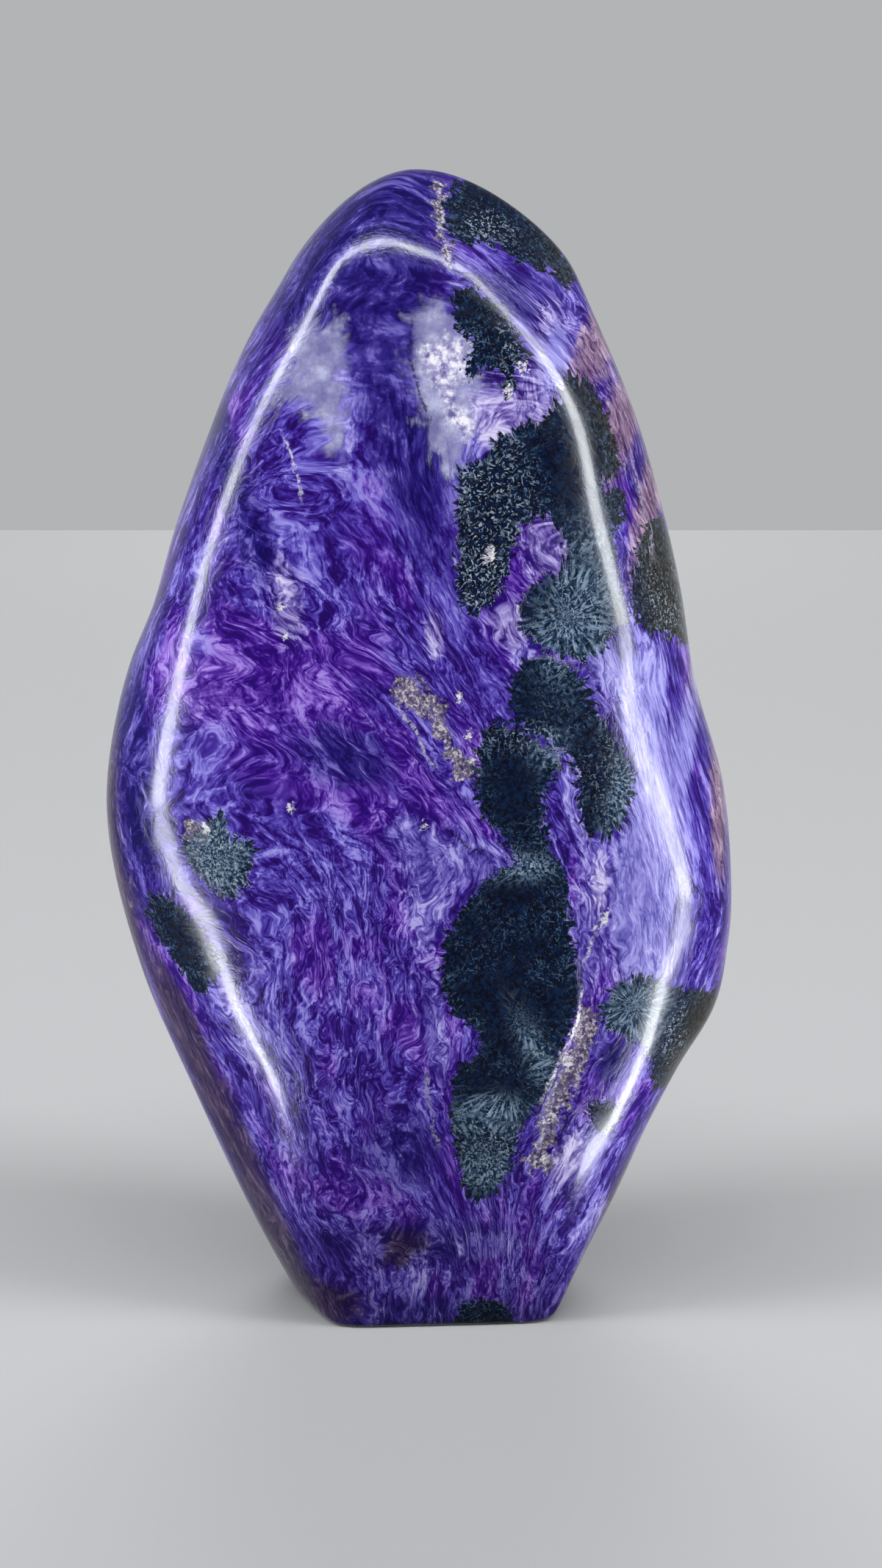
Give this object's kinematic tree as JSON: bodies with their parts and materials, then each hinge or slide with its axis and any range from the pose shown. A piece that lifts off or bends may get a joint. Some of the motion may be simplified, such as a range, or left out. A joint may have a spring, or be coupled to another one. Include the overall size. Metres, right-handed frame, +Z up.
{
  "type": "polished charoite freeform",
  "caption": "Upright free-form polished violet stone with broad front and back faces, soft ridges and a small flat base that it stands on.",
  "frame": {"origin": "on the plane of the flat base, at the middle of the box round the stone's plan", "axes": "+Z up along the stone's height, -Y out of the broad front face, +X to the right seen from the front"},
  "size_m": [0.0876, 0.048, 0.16],
  "materials": {
    "charoite": "high polish, swirling violet and lilac fibres with black needle clusters and pale grey and tan patches"
  },
  "bodies": {
    "root": {"stone": "charoite"}
  },
  "joints": []
}
